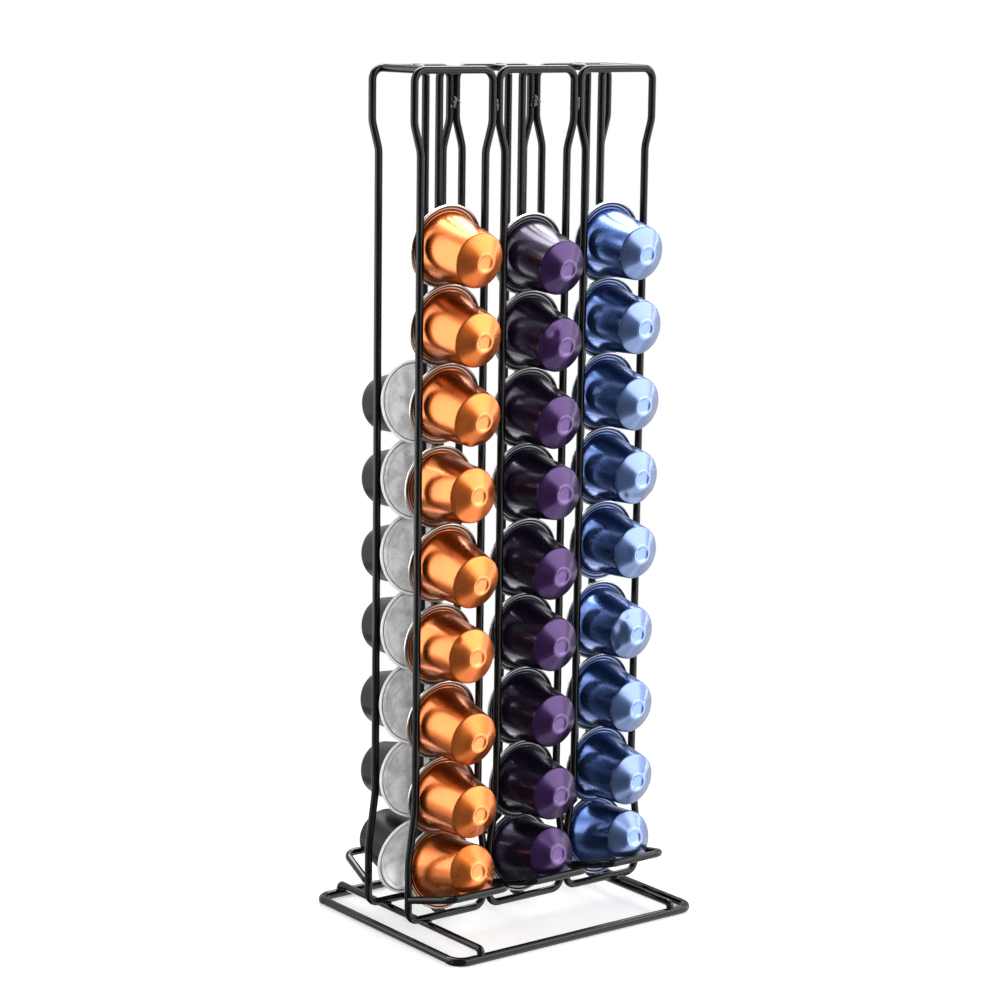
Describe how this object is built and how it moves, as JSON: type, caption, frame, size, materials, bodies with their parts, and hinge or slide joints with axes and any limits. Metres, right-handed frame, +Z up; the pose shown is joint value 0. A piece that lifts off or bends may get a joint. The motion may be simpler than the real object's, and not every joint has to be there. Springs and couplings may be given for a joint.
{
  "type": "coffee pod rack",
  "caption": "Free-standing black wire rack with back-to-back columns of coffee pods, each column a tall loop that holds pods by their rims above a small tray.",
  "frame": {"origin": "on the table, at the middle of the base ring", "axes": "+X along the row of columns, to the right seen from the front; +Y from the front bank to the back bank; +Z up"},
  "size_m": [0.1372, 0.113, 0.3836],
  "materials": {
    "coated_wire": "glossy black powder coat over bent steel wire",
    "orange_cup": "satin lacquered",
    "purple_cup": "satin lacquered",
    "blue_cup": "satin lacquered",
    "black_cup": "satin lacquered",
    "lid_foil": "thin crinkled foil",
    "ground_coffee": "matt ground coffee"
  },
  "bodies": {
    "frame": {"back_wire_back_left": "coated_wire", "back_wire_back_middle": "coated_wire", "back_wire_back_right": "coated_wire", "back_wire_front_left": "coated_wire", "back_wire_front_middle": "coated_wire", "back_wire_front_right": "coated_wire", "base_loop": "coated_wire", "cross_bar_left": "coated_wire", "cross_bar_right": "coated_wire", "loop_back_left": "coated_wire", "loop_back_middle": "coated_wire", "loop_back_right": "coated_wire", "loop_front_left": "coated_wire", "loop_front_middle": "coated_wire", "loop_front_right": "coated_wire", "top_tie_left": "coated_wire", "top_tie_right": "coated_wire", "tray_back_left": "coated_wire", "tray_back_middle": "coated_wire", "tray_back_right": "coated_wire", "tray_front_left": "coated_wire", "tray_front_middle": "coated_wire", "tray_front_right": "coated_wire"},
    "orange_stack": {"orange_stack_cups": "orange_cup", "orange_stack_lids": "lid_foil", "orange_stack_coffee": "ground_coffee"},
    "orange_top_pod": {"orange_top_cup": "orange_cup", "orange_top_lid": "lid_foil", "orange_top_coffee": "ground_coffee"},
    "purple_stack": {"purple_stack_cups": "purple_cup", "purple_stack_lids": "lid_foil", "purple_stack_coffee": "ground_coffee"},
    "purple_top_pod": {"purple_top_cup": "purple_cup", "purple_top_lid": "lid_foil", "purple_top_coffee": "ground_coffee"},
    "blue_stack": {"blue_stack_cups": "blue_cup", "blue_stack_lids": "lid_foil", "blue_stack_coffee": "ground_coffee"},
    "blue_top_pod": {"blue_top_cup": "blue_cup", "blue_top_lid": "lid_foil", "blue_top_coffee": "ground_coffee"},
    "black_stack": {"black_stack_cups": "black_cup", "black_stack_lids": "lid_foil", "black_stack_coffee": "ground_coffee"},
    "black_top_pod": {"black_top_cup": "black_cup", "black_top_lid": "lid_foil", "black_top_coffee": "ground_coffee"}
  },
  "joints": [
    {"name": "orange_stack_lift", "type": "slide", "parent": "frame", "child": "orange_stack", "axis": [0, 0, 1], "range_m": [0, 0.016]},
    {"name": "orange_top_pod_lift", "type": "slide", "parent": "orange_stack", "child": "orange_top_pod", "axis": [0, 0, 1], "range_m": [0, 0.034]},
    {"name": "purple_stack_lift", "type": "slide", "parent": "frame", "child": "purple_stack", "axis": [0, 0, 1], "range_m": [0, 0.016]},
    {"name": "purple_top_pod_lift", "type": "slide", "parent": "purple_stack", "child": "purple_top_pod", "axis": [0, 0, 1], "range_m": [0, 0.034]},
    {"name": "blue_stack_lift", "type": "slide", "parent": "frame", "child": "blue_stack", "axis": [0, 0, 1], "range_m": [0, 0.016]},
    {"name": "blue_top_pod_lift", "type": "slide", "parent": "blue_stack", "child": "blue_top_pod", "axis": [0, 0, 1], "range_m": [0, 0.034]},
    {"name": "black_stack_lift", "type": "slide", "parent": "frame", "child": "black_stack", "axis": [0, 0, 1], "range_m": [0, 0.016]},
    {"name": "black_top_pod_lift", "type": "slide", "parent": "black_stack", "child": "black_top_pod", "axis": [0, 0, 1], "range_m": [0, 0.1]}
  ]
}
